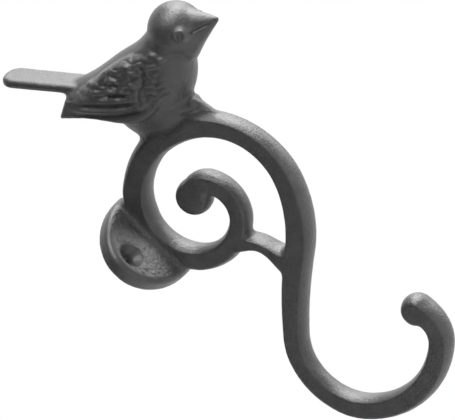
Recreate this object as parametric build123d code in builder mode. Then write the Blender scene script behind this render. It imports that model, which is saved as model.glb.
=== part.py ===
"""Cast-iron wall hook: a bird perched on a scroll that ends in a coat hook.

One casting. Row frame in millimetres: X points out from the wall, Z up the wall and Y along it.
The origin lies on the back of the plate, level with the screw and in the mid-plane of the scroll.
The scroll lies in the XZ plane and was moulded to both sides of it, so every form is symmetric
about Y = 0, apart from the plate, which is a single lobe on the -Y side.
"""

import os
from math import cos, radians, sin

from build123d import *

# ---------------------------------------------------------------- driving dimensions (mm, degrees)
# Scroll bar: barrel section, with flat cheeks towards +-Y and bulging edges
BAR_WIDTH = 7.6  # across the bulging edges, in the scroll's plane
BAR_DEPTH = 7.4  # between the flat cheeks, along Y
CHEEK_WIDTH = 4.7  # height of a flat cheek

# Scroll centre line: the crown under the bird, then tangent arcs as (radius, turn, bar scale)
CROWN_X = 30.0
CROWN_Z = 18.7
CROWN_SCALE = 1.14
FRONT_RUN = [
    (26.9, -51.0, 0.99),  # crown, forwards
    (24.9, -67.1, 1.05),  # front of the ring
    (41.5, -30.8, 1.15),  # lower front, easing into the shank
    (145.0, 11.5, 0.98),  # shank
    (20.4, 98.2, 0.98),  # back of the bowl
    (29.4, 73.4, 0.98),  # front of the bowl
    (10.2, 81.9, 1.12),  # curl of the tip
]
BACK_RUN = [
    (31.3, 29.5, 1.15),  # crown, backwards
    (20.6, 37.4, 1.14),  # back of the ring
    (17.0, 143.6, 0.89),  # along the plate and under the ring
    (10.6, 97.1, 0.93),  # rise of the inner spiral
    (5.3, 98.0, 1.08),  # curl of the eye
]

# Solid ends of the bar
TIP_RADIUS = 5.0
EYE_RADIUS = 5.8
KNOB_DEPTH = 7.0
KNOB_INSET = 0.4  # shift of a knob's centre to the inside of its curl

# Tie between ring and shank: (x, z, heading, width) of its sections
TIE_DEPTH = 7.2
TIE_CHEEK = 0.6  # share of a section's width that is flat
TIE_SECTIONS = [
    (23.4, -18.9, -28.0, 5.0),
    (28.0, -22.2, -42.0, 4.7),
    (31.1, -26.2, -58.0, 3.7),
    (32.1, -30.2, -70.0, 5.0),
    (33.0, -34.0, -76.0, 8.0),
    (34.8, -37.4, -80.0, 7.6),
]

# Wall plate
PLATE_REACH = 23.5  # from the scroll's mid-plane to the plate's free end
PLATE_HALF_HEIGHT = 15.1
PLATE_DROP = 0.5  # from the screw's level down to the plate's centre
PLATE_THICKNESS = 5.0
PLATE_EDGE = 1.1
PLATE_CORNER = 2.0
PLATE_FAR = 3.4  # the plate's end behind the scroll, just inside the bar's far cheek
SCREW_OFFSET = 16.4  # from the scroll's mid-plane to the screw
SCREW_HOLE = 4.4
SCREW_HEAD = 8.6
HEAD_ANGLE = 90.0

# Bird. A section is (x, z) of its upper end, (x, z) of its lower end and its half width along Y
BODY_SECTIONS = [
    (22.2, 49.2, 20.2, 47.0, 3.0),
    (27.8, 48.3, 20.8, 41.4, 5.4),
    (34.1, 46.9, 25.6, 35.8, 8.0),
    (41.2, 46.0, 30.6, 27.2, 9.7),
    (46.4, 45.1, 40.6, 21.8, 10.0),
    (49.9, 44.4, 51.4, 21.8, 9.6),
    (54.5, 44.2, 60.4, 27.8, 8.6),
    (60.0, 45.4, 66.2, 31.9, 7.6),
]
# One wing: as above, with the distance of its outer side along Y and its thickness
WING_SECTIONS = [
    (55.4, 39.6, 51.0, 28.0, 8.0, 5.0),
    (48.6, 43.2, 41.8, 25.6, 9.9, 7.0),
    (39.6, 45.0, 33.0, 29.0, 10.0, 7.0),
    (31.0, 45.8, 25.8, 36.1, 8.8, 5.6),
    (24.4, 46.8, 18.6, 41.6, 7.5, 3.6),
    (21.8, 47.4, 14.7, 44.4, 6.8, 2.4),
]
WING_CROWN = 0.6  # rounding along the wing's upper edge, as a share of its thickness
FEATHERS = 4
FEATHER_FROM = 0.25  # share of the wing's height above the first feather
FEATHER_FILL = 0.72  # share of the feathers' pitch that stands out
FEATHER_RELIEF = 0.5
HEAD_X = 64.4
HEAD_Z = 38.6
HEAD_RADIUS = 8.65
BEAK_SECTIONS = [
    (70.4, 44.1, 61.8, 27.8, 6.4),
    (75.4, 36.6, 70.0, 29.9, 3.3),
    (78.7, 32.0, 78.0, 31.2, 0.45),
]
EYE_FORWARD = 4.7  # from the head's centre, as are the next two
EYE_DROP = 2.6
EYE_OUT = 6.6
PUPIL_RADIUS = 1.35
LID_RADIUS = 2.2
LID_HEIGHT = 1.5
# Tail: a slab from (x, z) of its tip's middle to its root inside the body
TAIL_TIP = (6.3, 64.9)
TAIL_ROOT = (27.2, 44.5)
TAIL_WIDTH = 10.0
TAIL_THICKNESS = 2.8
TAIL_CORNER = 4.0
TAIL_ROUND = 0.8
SEAT_SECTIONS = [
    (53.2, 12.6, 28.0, 19.0, 4.0),
    (52.3, 17.0, 27.0, 24.0, 4.8),
    (50.6, 23.4, 26.6, 30.0, 7.4),
    (48.8, 32.0, 31.0, 37.0, 7.0),
]


def station(x, z, heading):
    """Plane across a run at (x, z): local x lies along Y, local y to the left of the heading."""
    a = radians(heading)
    return Plane(origin=(x, 0, z), x_dir=(0, 1, 0), z_dir=(cos(a), 0, sin(a)))


def barrel(plane, width, depth, cheek):
    """Barrel section: flat cheeks at both ends of the depth, and arcs that bulge to the width."""
    with BuildSketch(plane) as section:
        with BuildLine():
            near = Line((-depth / 2, -cheek / 2), (-depth / 2, cheek / 2))
            far = Line((depth / 2, cheek / 2), (depth / 2, -cheek / 2))
            ThreePointArc(near @ 1, (0, width / 2), far @ 0)
            ThreePointArc(far @ 1, (0, -width / 2), near @ 0)
        make_face()
    return section.sketch


def bar_section(x, z, heading, scale):
    """The bar's own section, scaled by its taper."""
    plane = station(x, z, heading)
    return barrel(plane, BAR_WIDTH * scale, BAR_DEPTH * scale, CHEEK_WIDTH * scale)


def across(top_x, top_z, low_x, low_z):
    """Plane through two points of the outline, local y towards the upper one, and half their gap."""
    rise = Vector(top_x - low_x, 0, top_z - low_z)
    middle = Vector(top_x + low_x, 0, top_z + low_z) / 2
    return Plane(origin=middle, x_dir=(0, 1, 0), z_dir=Vector(0, 1, 0).cross(rise)), rise.length / 2


def oval(top_x, top_z, low_x, low_z, half_width):
    """Elliptical section of the bird between two points of its outline."""
    plane, half_height = across(top_x, top_z, low_x, low_z)
    with BuildSketch(plane) as section:
        Ellipse(half_width, half_height)
    return section.sketch


def wing_section(top_x, top_z, low_x, low_z, outer, thickness, relief):
    """Section of the wing on the -Y side, standing out by a relief, with its upper outer corner rounded."""
    plane, half_height = across(top_x, top_z, low_x, low_z)
    with BuildSketch(plane) as section:
        with Locations((-outer - relief, 0)):
            Rectangle(thickness, 2 * half_height, align=(Align.MIN, Align.CENTER))
        fillet(section.vertices().group_by(Axis.Y)[-1].sort_by(Axis.X)[0], radius=WING_CROWN * thickness)
    return section.sketch


def wing_line(share):
    """Points (x, z) along the wing at a share of its height, from behind the shoulder to the tip."""
    behind_shoulder = WING_SECTIONS[1:]
    return [(x + share * (low_x - x), z + share * (low_z - z)) for x, z, low_x, low_z, *_ in behind_shoulder]


def swept_bar(run, heading):
    """Bar swept from the crown along a run of tangent arcs, and the place (x, z, heading) of its end."""
    x, z, scale = CROWN_X, CROWN_Z, CROWN_SCALE
    sections = [bar_section(x, z, heading, scale)]
    arcs = []
    for radius, turn, scale in run:
        side = radius if turn > 0 else -radius
        centre_x = x - side * sin(radians(heading))
        centre_z = z + side * cos(radians(heading))
        points = [(x, 0, z)]
        for angle in (heading + turn / 2, heading + turn):
            x = centre_x + side * sin(radians(angle))
            z = centre_z - side * cos(radians(angle))
            points.append((x, 0, z))
        arcs.append(ThreePointArc(*points))
        heading += turn
        sections.append(bar_section(x, z, heading, scale))
    with BuildPart() as bar:
        sweep(sections=sections, path=Wire(arcs), multisection=True)
    return bar.part, (x, z, heading)


# ---------------------------------------------------------------- scroll
front_bar, tip = swept_bar(FRONT_RUN, 0.0)
back_bar, eye = swept_bar(BACK_RUN, 180.0)

with BuildPart() as tie:
    loft(
        sections=[
            barrel(station(x, z, heading), width, TIE_DEPTH, TIE_CHEEK * width)
            for x, z, heading, width in TIE_SECTIONS
        ]
    )


def knob(x, z, heading, radius):
    """Solid round end of the bar: a ball with flat cheeks, set to the inside of its curl."""
    x -= KNOB_INSET * sin(radians(heading))
    z += KNOB_INSET * cos(radians(heading))
    with BuildPart(Location((x, 0, z))) as end:
        Sphere(radius)
        Box(2 * radius, KNOB_DEPTH, 2 * radius, mode=Mode.INTERSECT)
    return end.part


tip_knob = knob(*tip, TIP_RADIUS)
eye_knob = knob(*eye, EYE_RADIUS)

# ---------------------------------------------------------------- wall plate
with BuildPart() as plate:
    with BuildSketch(Plane.YZ) as outline:
        with Locations((0, -PLATE_DROP)):
            Ellipse(PLATE_REACH, PLATE_HALF_HEIGHT)
        with Locations((PLATE_FAR, -PLATE_DROP)):
            Rectangle(
                2 * PLATE_REACH, 2 * PLATE_HALF_HEIGHT, align=(Align.MAX, Align.CENTER), mode=Mode.INTERSECT
            )
        fillet(outline.vertices(), radius=PLATE_CORNER)
    extrude(amount=PLATE_THICKNESS)
    chamfer(plate.faces().sort_by(Axis.X)[-1].edges(), length=PLATE_EDGE)
    with Locations(Plane(origin=(PLATE_THICKNESS, -SCREW_OFFSET, 0), z_dir=(1, 0, 0))):
        CounterSinkHole(SCREW_HOLE / 2, SCREW_HEAD / 2, counter_sink_angle=HEAD_ANGLE)

# ---------------------------------------------------------------- bird
with BuildPart() as body:
    loft(sections=[oval(*place) for place in BODY_SECTIONS])

with BuildPart() as feathers:
    pitch = (1 - FEATHER_FROM) / FEATHERS
    for i in range(FEATHERS):
        top = FEATHER_FROM + i * pitch
        with BuildSketch(Plane.XZ):
            with BuildLine():
                upper = Spline(*wing_line(top))
                lower = Spline(*wing_line(top + FEATHER_FILL * pitch))
                Line(upper @ 0, lower @ 0)
                Line(upper @ 1, lower @ 1)
            make_face()
    extrude(amount=WING_SECTIONS[2][4] + FEATHER_RELIEF)
    loft(sections=[wing_section(*place, FEATHER_RELIEF) for place in WING_SECTIONS], mode=Mode.INTERSECT)

with BuildPart() as wings:
    loft(sections=[wing_section(*place, 0) for place in WING_SECTIONS])
    add(feathers.part)
    mirror(about=Plane.XZ)

with BuildPart() as tail:
    run = Vector(TAIL_TIP[0] - TAIL_ROOT[0], 0, TAIL_TIP[1] - TAIL_ROOT[1])
    middle = Vector(TAIL_TIP[0] + TAIL_ROOT[0], 0, TAIL_TIP[1] + TAIL_ROOT[1]) / 2
    slab = Plane(origin=middle, x_dir=run, z_dir=run.cross(Vector(0, 1, 0)))
    with BuildSketch(slab):
        RectangleRounded(run.length, TAIL_WIDTH, TAIL_CORNER)
    extrude(amount=TAIL_THICKNESS / 2, both=True)
    fillet(tail.edges().filter_by(slab), radius=TAIL_ROUND)

with BuildPart() as beak:
    loft(sections=[oval(*place) for place in BEAK_SECTIONS])

with BuildPart() as seat:
    loft(sections=[oval(*place) for place in SEAT_SECTIONS])

with BuildPart() as eyes:
    outwards = Vector(EYE_FORWARD, -EYE_OUT, -EYE_DROP)
    with Locations(Plane(origin=Vector(HEAD_X, 0, HEAD_Z) + outwards, z_dir=outwards)):
        Sphere(PUPIL_RADIUS)
        Cylinder(LID_RADIUS, LID_HEIGHT)
    mirror(about=Plane.XZ)

with BuildPart() as hook_casting:
    add(front_bar)
    add(back_bar)
    add(tip_knob)
    add(eye_knob)
    add(tie.part)
    add(plate.part)
    add(seat.part)
    add(body.part)
    add(wings.part)
    add(tail.part)
    add(beak.part)
    with Locations((HEAD_X, 0, HEAD_Z)):
        Sphere(HEAD_RADIUS)
    add(eyes.part)

os.makedirs("parts", exist_ok=True)
hook_casting.part.label = "hook_casting"
export_step(hook_casting.part, "parts/hook_casting.step")
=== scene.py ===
"""Cast-iron bird wall hook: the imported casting, remeshed and carved, with its iron finish.

X points out from the wall and Z up it, and the scroll's mid-plane is Y = 0. The studio's sizes
and those with MM beside them are in metres. The bare sizes of the skin, the plate and the
carving are in millimetres.
"""

from math import cos, radians, sin

import bmesh
import bpy
import numpy as np
from mathutils import Matrix, Vector


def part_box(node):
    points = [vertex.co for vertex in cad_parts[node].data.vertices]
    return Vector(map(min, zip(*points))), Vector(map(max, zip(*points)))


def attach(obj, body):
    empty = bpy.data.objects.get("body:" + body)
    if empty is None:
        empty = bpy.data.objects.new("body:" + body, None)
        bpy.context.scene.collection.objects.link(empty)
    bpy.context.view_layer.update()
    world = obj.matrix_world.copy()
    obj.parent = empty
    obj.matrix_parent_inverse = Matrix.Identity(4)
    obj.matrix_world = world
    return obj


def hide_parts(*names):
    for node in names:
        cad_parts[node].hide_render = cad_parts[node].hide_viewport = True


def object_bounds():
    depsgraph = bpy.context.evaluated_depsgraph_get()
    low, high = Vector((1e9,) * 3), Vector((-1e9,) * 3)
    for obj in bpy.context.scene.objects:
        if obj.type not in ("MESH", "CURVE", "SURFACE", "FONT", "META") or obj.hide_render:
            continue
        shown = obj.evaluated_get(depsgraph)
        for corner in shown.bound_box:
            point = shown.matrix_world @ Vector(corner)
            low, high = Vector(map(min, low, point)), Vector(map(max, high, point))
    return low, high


MM = 0.001

# ---------------------------------------------------------------- camera, lamps and studio
# The azimuth is from the scroll's flat side, and the roll lays the hook's height on a diagonal
VIEW_AZIMUTH = radians(37.1)
VIEW_ELEVATION = radians(0.45)
VIEW_ROLL = radians(45.0)
VIEW_WIDTH = 136.6 * MM
VIEW_CENTRE = Vector((30.06, 0.0, -10.66)) * MM
LENS = 1000.0
SENSOR = 36.0
CLIP_END = 100.0

LAMP_DISTANCE = 1.0
LAMP_SIZE = 0.7

WHITE = (1.0, 1.0, 1.0, 1.0)
BACKDROP_EDGE = (0.0, 0.6)  # cosine to the view at which reflections begin to be white, and are
ROOM_LIGHT = 0.03
FLOOR_SIZE = 2.4
FLOOR_DROP = 60 * MM  # below the hook's lowest point
FLOOR_GREY = (0.6, 0.6, 0.6, 1.0)
FLOOR_ROUGHNESS = 0.9
FLOOR_GLOW = 0.8  # share of white where the floor is seen; the rest keeps the shadow

# ---------------------------------------------------------------- iron
IRON_DARK = (0.036, 0.036, 0.036, 1.0)
IRON_PALE = (0.056, 0.056, 0.056, 1.0)
MOTTLE_EDGES = (0.3, 0.75)  # the mottle's noise at which the iron is darkest and palest
MOTTLE = {"scale": 260.0, "detail": 4.0, "roughness": 0.6}
GRAIN = {"scale": 1500.0, "detail": 3.0, "roughness": 0.65}
BUMPS = {"strength": 0.55, "distance": 0.0003}
IRON_ROUGHNESS = (0.28, 0.42)
IRON_SPECULAR = 0.5

# ---------------------------------------------------------------- skin
VOXEL = 0.5 * MM
FILLET = 1.0 * MM
COAT = 0.02 * MM  # thickness of the paint, added all over
SKIN_SMOOTHING = {"factor": 0.5, "iterations": 2}
TRIANGLES = 190000
BOX_MARGIN = 0.01  # how far the skin stays inside the CAD box
# Boxes with finer cells
BIRD_BOX = (Vector((12.0, -12.0, 17.0)) * MM, Vector((80.0, 12.0, 52.0)) * MM)
FACE_BOX = (Vector((64.0, -12.0, 29.0)) * MM, Vector((80.0, 12.0, 41.0)) * MM)
PLATE_BOX = (Vector((-1.0, -24.0, -17.0)) * MM, Vector((7.0, -4.0, 17.0)) * MM)
# Size and height of the sand-cast unevenness, and of the grit on the plate's face
CAST_WAVES = ((3.5 * MM, 0.10 * MM), (1.1 * MM, 0.07 * MM))
PLATE_GRIT = ((1.6 * MM, 0.34 * MM), (0.8 * MM, 0.16 * MM))

# Flat cheeks of the bars, drawn out along Y
CHEEK_X = (6.5, 9.5)  # where this begins and is full, in front of the plate
CHEEK_Z = (18.0, 15.0)  # the same below the bird
CHEEK_REACH = 3  # cells of 1 mm round a vertex in which the bar's depth is looked for
CHEEK_GAIN = 1.12  # most that a depth grows

# ---------------------------------------------------------------- plate and screw hole
PLATE_FRONT = 5.0
PLATE_REACH = 23.5
PLATE_HALF_HEIGHT = 15.1
ROUGH_SHARE = 0.9  # share of the lobe's outline that is rough, short of the rim
ROUGH_X = (2.5, 7.0)
ROUGH_Y = -4.0  # the rough face lies past this, beside the bar
HOLE_Y, HOLE_Z = -16.4, 0.0
BORE_RADIUS = 2.2
BORE_LENGTH = 2.9
BORE_TAPER = 0.3  # share by which the bore narrows at its back end
BORE_WALL = 0.6  # vertices up to this far outside the bore's radius count as its wall
SINK_RADIUS = 4.3
SINK_OVERLAP = 0.3  # how far the countersink's cone reaches into the bore
SINK_BORDER = 0.3  # width of the smooth border round the countersink

# ---------------------------------------------------------------- carving, on both flanks
# Zones of the carving: |Y| at which it begins and is full, and its limits along X and Z
FULL_TILT = 0.5  # share of Y in a normal from which a place is carved in full
FLANK_DEPTH, FLANK_FRONT, FLANK_BOTTOM = (4.5, 6.0), 62.0, 20.0
FACE_DEPTH, FACE_BACK, FACE_BOTTOM = (1.5, 2.5), 55.0, 28.0
FOOT_X, FOOT_Z = (42.0, 58.0), (12.0, 24.0)
# Past this |Y| the flanks keep only a share of their depth, which leaves room for the relief
BROAD_FROM, BROAD_SHARE = 8.8, 0.6

# Ridges and grooves: (x, z) along the line, height (negative for a groove), and the half widths
# above the line and below it
FEATHERS = [
    ([(38.2, 42.6), (40.5, 41.0), (42.3, 39.1)], 0.75, 1.0, 0.6),
    ([(36.0, 40.3), (38.5, 38.5), (41.5, 36.3)], 0.75, 1.0, 0.6),
    ([(24.6, 44.6), (31.4, 39.6), (37.4, 35.1), (42.0, 32.2)], 0.75, 1.1, 0.6),
    ([(20.8, 44.2), (29.0, 37.4), (37.0, 31.8), (44.9, 28.8)], 0.75, 1.1, 0.6),
    ([(35.4, 43.2), (38.9, 40.6), (41.0, 38.2)], -0.5, 0.6, 0.6),
    ([(34.2, 40.0), (37.6, 37.2), (40.8, 34.8)], -0.5, 0.6, 0.6),
    ([(24.2, 43.1), (31.9, 36.9), (41.4, 31.0)], -0.55, 0.6, 0.6),
    ([(20.4, 42.3), (30.4, 34.3), (41.7, 28.0)], -0.55, 0.6, 0.6),
    ([(51.7, 37.1), (48.5, 34.6), (44.3, 32.9), (41.4, 30.1)], -0.55, 0.7, 0.7),
    ([(51.0, 38.8), (50.5, 36.3), (48.6, 34.8)], -0.5, 0.5, 0.5),
]
# The neck's crease and the mouth
FACE_LINES = [
    ([(58.0, 42.0), (58.3, 39.2), (59.3, 36.7), (60.9, 33.7), (64.6, 31.6)], -0.4, 1.1, 1.1),
    ([(78.5, 31.6), (76.0, 32.7), (72.0, 34.0), (69.8, 35.0)], -0.6, 0.45, 0.45),
]
FOOT_LINES = [
    ([(49.7, 20.2), (52.6, 19.1), (54.0, 17.2)], 0.5, 1.1, 1.1),
    ([(45.8, 20.2), (49.3, 17.8), (51.7, 17.2)], -0.4, 0.6, 0.6),
]
CURVE_STEPS = 24  # of a whole line
LINE_END = 0.15  # share of its height that a line has at its very ends
LINE_RISE = 5.0  # gain of that share over the length of the line

# Short coverts, neck tufts and the cheek: (x, z) of the middle, length, width, height
TUFTS = [
    (32.4, 42.6, 2.2, 0.9, 0.75),
    (32.7, 45.0, 2.2, 0.9, 0.75),
    (38.0, 45.4, 2.2, 0.9, 0.68),
    (42.8, 43.2, 2.0, 0.9, 0.60),
    (47.3, 40.9, 2.2, 1.0, 0.90),
    (47.6, 38.6, 2.0, 0.9, 0.75),
    (44.6, 36.6, 2.0, 0.9, 0.68),
    (55.2, 35.2, 1.6, 0.7, 0.52),
    (52.8, 36.3, 1.6, 0.7, 0.52),
    (57.0, 38.0, 1.6, 0.7, 0.52),
    (54.4, 38.4, 1.6, 0.7, 0.52),
    (58.1, 35.4, 1.4, 0.7, 0.45),
    (64.8, 35.3, 1.6, 1.6, 0.45),
]
FLIGHT = Vector((-0.78, 0.62))  # direction of the feathers in the XZ plane

# Staggered rows of small scales above the long feathers
SCALE_LENGTH, SCALE_WIDTH, SCALE_HEIGHT = 4.3, 2.1, 0.38
SCALE_WAVE = 0.3  # how far the rows wave
SCALE_STAGGER = 0.5  # shift of every second row, in scales
SCALE_JITTER = (0.3, 2.7)  # size and pace of the rows' uneven shift
SCALE_FULLNESS = 0.8  # below 1 the scales have broader tops
SCALE_SINK = 0.4  # share of the height that lies below the flank
SCALES_ABOVE = [(24.0, 44.0), (32.0, 38.2), (42.0, 31.6)]
SCALES_RISE = 1.5  # from that line up to full height
SCALES_X = (56.0, 52.0)  # where the scales begin and are full, from the breast

# Eyes: the CAD's lids are smoothed away, then a ring, a socket and a pupil are carved
EYE = Vector((68.9, 36.3))
LID_REACH = 5.2
LID_FROM = 2.5  # |Y| from which the lids are smoothed
LID_SMOOTHING = {"factor": 0.5, "iterations": 60}
EYE_RING, EYE_RING_HALF, EYE_RING_HEIGHT = 1.45, 0.4, 0.36
EYE_SOCKET, EYE_SOCKET_DEPTH = 1.0, 0.5
EYE_PUPIL, EYE_PUPIL_HEIGHT = 0.5, 0.4


# ---------------------------------------------------------------- meshes
def coordinates(mesh):
    """Vertex places in mm."""
    flat = np.empty(3 * len(mesh.vertices), np.float32)
    mesh.vertices.foreach_get("co", flat)
    return flat.reshape(-1, 3) / MM


def move(mesh, places):
    """Sets the vertex places from mm."""
    mesh.vertices.foreach_set("co", (places * MM).astype(np.float32).ravel())
    mesh.update()


def normals(mesh):
    """Unit normals of the vertices."""
    flat = np.empty(3 * len(mesh.vertices), np.float32)
    mesh.vertex_normals.foreach_get("vector", flat)
    return flat.reshape(-1, 3)


def applied(skin, *modifiers):
    """Gives a piece the mesh that modifiers make, each given as its kind and settings."""
    for kind, settings in modifiers:
        modifier = skin.modifiers.new(kind.lower(), kind)
        for key, value in settings.items():
            setattr(modifier, key, value)
    bpy.context.view_layer.update()
    shape = skin.evaluated_get(bpy.context.evaluated_depsgraph_get())
    mesh = bpy.data.meshes.new_from_object(shape)
    skin.modifiers.clear()
    old = skin.data
    skin.data = mesh
    bpy.data.meshes.remove(old)


def applied_where(skin, chosen, *modifiers):
    """Applies modifiers one after the other to the chosen vertices, given as a mask."""
    group = skin.vertex_groups.new(name="chosen")
    group.add([int(i) for i in np.flatnonzero(chosen)], 1.0, "REPLACE")
    for kind, settings in modifiers:
        applied(skin, (kind, {**settings, "vertex_group": "chosen"}))
    skin.vertex_groups.clear()


def clouds(name, size, height):
    """Modifier that moves a skin in and out by soft noise."""
    texture = bpy.data.textures.new(name, "CLOUDS")
    texture.noise_scale = size
    return ("DISPLACE", {"texture": texture, "strength": height, "mid_level": 0.5})


def grow(skin, distance):
    """Moves every vertex along its normal."""
    mesh = skin.data
    move(mesh, coordinates(mesh) + normals(mesh) * distance / MM)


def remeshed(source, name):
    """Copy of a CAD mesh as one even skin, with fillets where forms meet."""
    skin = bpy.data.objects.new(name, source.data.copy())
    bpy.context.scene.collection.objects.link(skin)
    even = ("REMESH", {"mode": "VOXEL", "voxel_size": VOXEL})
    applied(skin, even)
    grow(skin, FILLET)
    applied(skin, even)
    grow(skin, -FILLET)
    applied(skin, even, ("SMOOTH", SKIN_SMOOTHING))
    return skin


def refine(skin, low, high):
    """Halves the cells inside a box."""
    mesh = bmesh.new()
    mesh.from_mesh(skin.data)
    inside = [
        edge
        for edge in mesh.edges
        if all(low[i] < vertex.co[i] < high[i] for vertex in edge.verts for i in range(3))
    ]
    bmesh.ops.subdivide_edges(mesh, edges=inside, cuts=1, use_grid_fill=True, smooth=0.0)
    mesh.to_mesh(skin.data)
    mesh.free()


def thin_out(skin):
    """Merges faces in the smooth places until the skin has the wished number of triangles."""
    triangles = sum(len(face.vertices) - 2 for face in skin.data.polygons)
    applied(skin, ("DECIMATE", {"ratio": min(1.0, TRIANGLES / triangles)}))


def keep_inside(skin, box):
    """Holds the skin inside the CAD box."""
    low, high = np.array(box) / MM
    move(skin.data, np.clip(coordinates(skin.data), low + BOX_MARGIN, high - BOX_MARGIN))


# ---------------------------------------------------------------- fields in the XZ plane
def fade(value, start, full):
    """0 at start and 1 at full, which may lie on either side of it."""
    return np.clip((value - start) / (full - start), 0.0, 1.0)


def bell(value):
    """1 at 0, falling off to both sides."""
    return np.exp(-value * value)


def line_distance(x, z, points):
    """Signed distance to a polyline (positive above it) and the share of its length."""
    best = np.full(x.shape, np.inf)
    side = np.zeros(x.shape)
    share = np.zeros(x.shape)
    steps = [Vector(b) - Vector(a) for a, b in zip(points, points[1:])]
    total = sum(step.length for step in steps)
    done = 0.0
    for start, step in zip(points, steps):
        t = ((x - start[0]) * step.x + (z - start[1]) * step.y) / step.length_squared
        t = np.clip(t, 0.0, 1.0)
        dx = x - start[0] - t * step.x
        dz = z - start[1] - t * step.y
        distance = np.hypot(dx, dz)
        nearer = distance < best
        best = np.where(nearer, distance, best)
        side = np.where(nearer, np.sign(step.x * dz - step.y * dx), side)
        share = np.where(nearer, (done + t * step.length) / total, share)
        done += step.length
    return best * side, share


def smooth_points(points):
    """Catmull-Rom curve through points."""
    first = 2 * Vector(points[0]) - Vector(points[1])
    last = 2 * Vector(points[-1]) - Vector(points[-2])
    p = [first, *map(Vector, points), last]
    steps = CURVE_STEPS // (len(points) - 1)
    curve = []
    for a, b, c, d in zip(p, p[1:], p[2:], p[3:]):
        for k in range(steps):
            t = k / steps
            bend = (2 * a - 5 * b + 4 * c - d) * t * t
            twist = (3 * b - a - 3 * c + d) * t * t * t
            curve.append(0.5 * (2 * b + (c - a) * t + bend + twist))
    curve.append(Vector(points[-1]))
    return curve


def lines_height(x, z, lines):
    """Height of ridges and grooves, faded at their ends."""
    height = np.zeros(len(x))
    for points, tall, upper, lower in lines:
        distance, share = line_distance(x, z, smooth_points(points))
        fall = np.where(distance > 0, distance / upper, distance / lower)
        end = LINE_RISE * np.minimum(share, 1.0 - share) + LINE_END
        height += tall * bell(fall) * np.clip(end, 0.0, 1.0)
    return height


def tufts_height(x, z):
    """Height of single lumps that lie along the feathers."""
    height = np.zeros(len(x))
    for mid_x, mid_z, length, width, tall in TUFTS:
        along = (x - mid_x) * FLIGHT.x + (z - mid_z) * FLIGHT.y
        across = (x - mid_x) * -FLIGHT.y + (z - mid_z) * FLIGHT.x
        height += tall * bell(along / length) * bell(across / width)
    return height


def scales_height(x, z):
    """Height of the rows of small scales."""
    along = x * FLIGHT.x + z * FLIGHT.y
    across = x * -FLIGHT.y + z * FLIGHT.x + SCALE_WAVE * np.sin(along)
    row = np.floor(across / SCALE_WIDTH)
    size, pace = SCALE_JITTER
    shift = SCALE_STAGGER * (row % 2) + size * np.sin(pace * row)
    lump = np.abs(np.sin(np.pi * (along / SCALE_LENGTH + shift)))
    lump = lump * np.abs(np.sin(np.pi * across / SCALE_WIDTH))
    distance, _ = line_distance(x, z, SCALES_ABOVE)
    covered = fade(distance, 0.0, SCALES_RISE) * fade(x, *SCALES_X)
    return SCALE_HEIGHT * (lump**SCALE_FULLNESS - SCALE_SINK) * covered


def eye_height(x, z):
    """Height of a raised ring, a sunk socket and a small pupil."""
    radius = np.hypot(x - EYE.x, z - EYE.y)
    ring = EYE_RING_HEIGHT * bell((radius - EYE_RING) / EYE_RING_HALF)
    socket = EYE_SOCKET_DEPTH * bell(radius / EYE_SOCKET)
    pupil = EYE_PUPIL_HEIGHT * bell(radius / EYE_PUPIL)
    return ring - socket + pupil


# ---------------------------------------------------------------- shaping of the skin
def spread(grid, reach):
    """Largest value within a reach of each cell, then softened twice."""
    widest = grid.copy()
    for i in range(-reach, reach + 1):
        for k in range(-reach, reach + 1):
            if i * i + k * k <= reach * reach:
                widest = np.maximum(widest, np.roll(grid, (i, k), (0, 1)))
    for _ in range(2):
        turned = [np.roll(widest, step, axis) for step in (-1, 0, 1) for axis in (0, 1)]
        widest = sum(turned) / len(turned)
    return widest


def square_up(skin):
    """Draws the bars out to flat cheeks, as deep along Y as the casting is within a short reach."""
    mesh = skin.data
    place = coordinates(mesh)
    depth = np.abs(place[:, 1])
    free = place[:, 0] > CHEEK_X[0]
    corner = place[:, (0, 2)].min(axis=0) - 2 * CHEEK_REACH
    cells = (place[:, (0, 2)] - corner).astype(int)
    grid = np.zeros(cells.max(axis=0) + 2 * CHEEK_REACH)
    np.maximum.at(grid, (cells[free, 0], cells[free, 1]), depth[free])
    grid = spread(grid, CHEEK_REACH)
    # The depth wished at each vertex, between the middles of the four cells round it
    part = place[:, (0, 2)] - corner - 0.5
    low = np.floor(part).astype(int)
    part -= low
    wished = np.zeros(len(depth))
    for i, k in ((0, 0), (0, 1), (1, 0), (1, 1)):
        weight = np.abs(1 - i - part[:, 0]) * np.abs(1 - k - part[:, 1])
        wished += weight * grid[low[:, 0] + i, low[:, 1] + k]
    drawn = np.maximum(depth, np.minimum(depth * CHEEK_GAIN, wished))
    share = fade(place[:, 0], *CHEEK_X)
    share = share * fade(place[:, 2], *CHEEK_Z)
    place[:, 1] += np.sign(place[:, 1]) * (drawn - depth) * share
    move(mesh, place)


def uneven(skin):
    """Low waves of the sand mould over the whole skin."""
    for size, height in CAST_WAVES:
        applied(skin, clouds("cast waves", size, height))


def smooth_lids(skin):
    """Blends the CAD's lids and eyeballs into the head, ready for the carved eyes."""
    x, y, z = coordinates(skin.data).T
    near_eye = (np.hypot(x - EYE.x, z - EYE.y) < LID_REACH) & (np.abs(y) > LID_FROM)
    applied_where(skin, near_eye, ("SMOOTH", LID_SMOOTHING))


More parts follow.
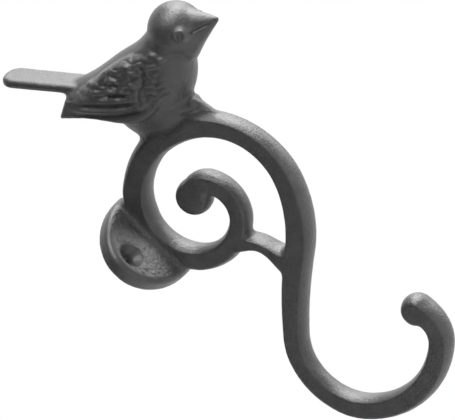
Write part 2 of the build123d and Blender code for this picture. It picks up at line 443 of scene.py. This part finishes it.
def carve(skin):
    """Feathers, coverts, face and foot of the bird, on both sides."""
    mesh = skin.data
    place = coordinates(mesh)
    facing = normals(mesh)
    x, y, z = place.T
    side = fade(np.abs(facing[:, 1]), 0.0, FULL_TILT)
    flank = side * fade(np.abs(y), *FLANK_DEPTH) * (z > FLANK_BOTTOM) * (x < FLANK_FRONT)
    face = side * fade(np.abs(y), *FACE_DEPTH) * (x > FACE_BACK) * (z > FACE_BOTTOM)
    foot = side * (z > FOOT_Z[0]) * (z < FOOT_Z[1]) * (x > FOOT_X[0]) * (x < FOOT_X[1])
    height = flank * (lines_height(x, z, FEATHERS) + tufts_height(x, z) + scales_height(x, z))
    height += face * (lines_height(x, z, FACE_LINES) + eye_height(x, z))
    height += foot * lines_height(x, z, FOOT_LINES)
    broad = np.maximum(np.abs(y) - BROAD_FROM, 0.0) * (z > FLANK_BOTTOM)
    place[:, 1] -= np.sign(y) * broad * (1.0 - BROAD_SHARE)
    move(mesh, place + facing * height[:, None])


def roughen_plate(skin):
    """Rough sand-cast face of the wall plate, beside the bar."""
    x, y, z = coordinates(skin.data).T
    chosen = np.hypot(y / PLATE_REACH, z / PLATE_HALF_HEIGHT) < ROUGH_SHARE
    chosen &= (x > ROUGH_X[0]) & (x < ROUGH_X[1]) & (y < ROUGH_Y)
    chosen &= np.hypot(y - HOLE_Y, z - HOLE_Z) > SINK_RADIUS + SINK_BORDER
    applied_where(skin, chosen, *(clouds("grit", size, height) for size, height in PLATE_GRIT))


def cut_hole(skin):
    """Crisp countersink, and a cast taper at the back end of the bore."""
    mesh = skin.data
    place = coordinates(mesh)
    x = place[:, 0]
    across = place[:, 1:] - (HOLE_Y, HOLE_Z)
    radius = np.hypot(*across.T)
    cone = PLATE_FRONT - (SINK_RADIUS - radius)
    sunk = (radius > BORE_RADIUS - SINK_OVERLAP) & (radius < SINK_RADIUS) & (x > cone)
    place[sunk, 0] = cone[sunk]
    bore = (radius < BORE_RADIUS + BORE_WALL) & (x < BORE_LENGTH)
    narrowed = BORE_TAPER * (1.0 - x[bore] / BORE_LENGTH)
    place[bore, 1:] -= across[bore] * narrowed[:, None]
    move(mesh, place)


# ---------------------------------------------------------------- material
def node(tree, kind, operation=None, **inputs):
    """A shader node, with its operation and its unlinked inputs set by name."""
    made = tree.nodes.new(kind)
    if operation:
        made.operation = operation
    for key, value in inputs.items():
        made.inputs[key.replace("_", " ").title()].default_value = value
    return made


def iron_material():
    """Cast iron with a dark satin coat: mottled tone, sanded grain and slight bumps."""
    material = bpy.data.materials.new("iron")
    material.use_nodes = True
    tree = material.node_tree
    shader = tree.nodes["Principled BSDF"]
    link = tree.links.new
    place = node(tree, "ShaderNodeTexCoord")
    mottle = node(tree, "ShaderNodeTexNoise", **MOTTLE)
    link(place.outputs["Object"], mottle.inputs["Vector"])
    tone = node(tree, "ShaderNodeValToRGB")
    for stop, edge, colour in zip(tone.color_ramp.elements, MOTTLE_EDGES, (IRON_DARK, IRON_PALE)):
        stop.position = edge
        stop.color = colour
    link(mottle.outputs["Fac"], tone.inputs["Fac"])
    link(tone.outputs["Color"], shader.inputs["Base Color"])
    shader.inputs["Metallic"].default_value = 0.0
    shader.inputs["Specular IOR Level"].default_value = IRON_SPECULAR
    least, most = IRON_ROUGHNESS
    rough = node(tree, "ShaderNodeMapRange", to_min=least, to_max=most)
    link(mottle.outputs["Fac"], rough.inputs["Value"])
    link(rough.outputs["Result"], shader.inputs["Roughness"])
    grain = node(tree, "ShaderNodeTexNoise", **GRAIN)
    link(place.outputs["Object"], grain.inputs["Vector"])
    bump = node(tree, "ShaderNodeBump", **BUMPS)
    link(grain.outputs["Fac"], bump.inputs["Height"])
    link(bump.outputs["Normal"], shader.inputs["Normal"])
    return material


# ---------------------------------------------------------------- camera, lamps and studio
def view_axes():
    """Right, up and backward of the camera."""
    level = Vector((cos(VIEW_AZIMUTH), sin(VIEW_AZIMUTH), 0.0))
    away = Vector((sin(VIEW_AZIMUTH), -cos(VIEW_AZIMUTH), 0.0))
    back = away * cos(VIEW_ELEVATION) + Vector((0.0, 0.0, sin(VIEW_ELEVATION)))
    rise = back.cross(level)
    up = level * sin(VIEW_ROLL) + rise * cos(VIEW_ROLL)
    right = level * cos(VIEW_ROLL) - rise * sin(VIEW_ROLL)
    return right, up, back


def add_camera():
    """Camera that sees the view's width at the view's centre."""
    right, up, back = view_axes()
    data = bpy.data.cameras.new("camera")
    data.lens = LENS
    data.sensor_width = SENSOR
    data.clip_end = CLIP_END
    distance = VIEW_WIDTH * LENS / SENSOR
    turn = Matrix((right, up, back)).transposed().to_4x4()
    camera = bpy.data.objects.new("camera", data)
    camera.matrix_world = Matrix.Translation(VIEW_CENTRE + back * distance) @ turn
    bpy.context.scene.collection.objects.link(camera)
    bpy.context.scene.camera = camera


def add_lamp(name, direction, watts):
    """Square area lamp that looks at the part's middle from a direction."""
    data = bpy.data.lights.new(name, "AREA")
    data.shape = "SQUARE"
    data.size = LAMP_SIZE
    data.energy = watts
    lamp = bpy.data.objects.new(name, data)
    direction = direction.normalized()
    lamp.location = VIEW_CENTRE + direction * LAMP_DISTANCE
    lamp.rotation_euler = direction.to_track_quat("Z", "Y").to_euler()
    bpy.context.scene.collection.objects.link(lamp)


def add_lights():
    """Soft light from above, with weaker lamps to its sides."""
    right, up, back = view_axes()
    add_lamp("overhead", up, 20.0)
    add_lamp("rear", up - back * 0.7, 4.0)
    add_lamp("front", up + back * 0.7 - right * 0.45, 10.0)
    add_lamp("right", right + up - back * 0.45, 6.0)
    add_lamp("left", up - right + back, 2.0)


def combined(tree, operation, first, second):
    """Output of a Math node, fed by an output and by an output or a number."""
    made = node(tree, "ShaderNodeMath", operation=operation)
    tree.links.new(first, made.inputs[0])
    if isinstance(second, float):
        made.inputs[1].default_value = second
    else:
        tree.links.new(second, made.inputs[1])
    return made.outputs["Value"]


def seen_by(tree, *rays):
    """1 for the given kinds of ray, else 0."""
    path = node(tree, "ShaderNodeLightPath")
    seen = path.outputs[rays[0]]
    for ray in rays[1:]:
        seen = combined(tree, "MAXIMUM", seen, path.outputs[ray])
    return seen


def add_world():
    """Dim room, white to the camera, and white behind the part for its reflections."""
    world = bpy.data.worlds.new("studio")
    world.use_nodes = True
    tree = world.node_tree
    tree.nodes.clear()
    link = tree.links.new
    place = node(tree, "ShaderNodeTexCoord")
    towards = node(tree, "ShaderNodeVectorMath", operation="DOT_PRODUCT")
    link(place.outputs["Generated"], towards.inputs[0])
    towards.inputs[1].default_value = -view_axes()[2]
    begins, full = BACKDROP_EDGE
    behind = node(tree, "ShaderNodeMapRange", from_min=begins, from_max=full)
    link(towards.outputs["Value"], behind.inputs["Value"])
    glossy = seen_by(tree, "Is Glossy Ray")
    mirrored = combined(tree, "MULTIPLY", behind.outputs["Result"], glossy)
    direct = seen_by(tree, "Is Camera Ray", "Is Transmission Ray")
    dim = node(tree, "ShaderNodeBackground", color=WHITE, strength=ROOM_LIGHT)
    white = node(tree, "ShaderNodeBackground", color=WHITE, strength=1.0)
    blend = node(tree, "ShaderNodeMixShader")
    link(combined(tree, "MAXIMUM", direct, mirrored), blend.inputs["Fac"])
    link(dim.outputs["Background"], blend.inputs[1])
    link(white.outputs["Background"], blend.inputs[2])
    out = node(tree, "ShaderNodeOutputWorld")
    link(blend.outputs["Shader"], out.inputs["Surface"])
    bpy.context.scene.world = world


def add_floor(lowest):
    """Pale floor below the part, which glows white where it is seen and keeps some shadow."""
    bpy.ops.mesh.primitive_plane_add(size=FLOOR_SIZE, location=(0.0, 0.0, lowest - FLOOR_DROP))
    floor = bpy.context.object
    floor.name = "floor"
    material = bpy.data.materials.new("floor")
    material.use_nodes = True
    tree = material.node_tree
    surface = tree.nodes["Principled BSDF"]
    surface.inputs["Base Color"].default_value = FLOOR_GREY
    surface.inputs["Roughness"].default_value = FLOOR_ROUGHNESS
    seen = seen_by(tree, "Is Camera Ray", "Is Transmission Ray", "Is Glossy Ray")
    glow = node(tree, "ShaderNodeEmission")
    blend = node(tree, "ShaderNodeMixShader")
    tree.links.new(combined(tree, "MULTIPLY", seen, FLOOR_GLOW), blend.inputs["Fac"])
    tree.links.new(surface.outputs["BSDF"], blend.inputs[1])
    tree.links.new(glow.outputs["Emission"], blend.inputs[2])
    tree.links.new(blend.outputs["Shader"], tree.nodes["Material Output"].inputs["Surface"])
    floor.data.materials.append(material)


# ---------------------------------------------------------------- the scene
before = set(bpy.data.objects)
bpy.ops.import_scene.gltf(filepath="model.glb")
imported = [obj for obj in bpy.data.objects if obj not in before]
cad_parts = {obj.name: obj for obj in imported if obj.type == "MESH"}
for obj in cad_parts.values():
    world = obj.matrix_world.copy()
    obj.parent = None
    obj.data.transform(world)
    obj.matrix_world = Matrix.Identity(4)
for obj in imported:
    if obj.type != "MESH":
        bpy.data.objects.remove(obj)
cad_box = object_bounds()

casting = remeshed(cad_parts["hook_casting"], "hook_skin")
grow(casting, COAT)
square_up(casting)
for box in (BIRD_BOX, FACE_BOX, PLATE_BOX):
    refine(casting, *box)
uneven(casting)
smooth_lids(casting)
carve(casting)
roughen_plate(casting)
cut_hole(casting)
thin_out(casting)
keep_inside(casting, cad_box)
for face in casting.data.polygons:
    face.use_smooth = True

casting.data.materials.clear()
casting.data.materials.append(iron_material())
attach(casting, "root")
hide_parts("hook_casting")

add_camera()
add_lights()
add_world()
add_floor(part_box("hook_casting")[0][2])
bpy.context.scene.view_settings.view_transform = "Standard"
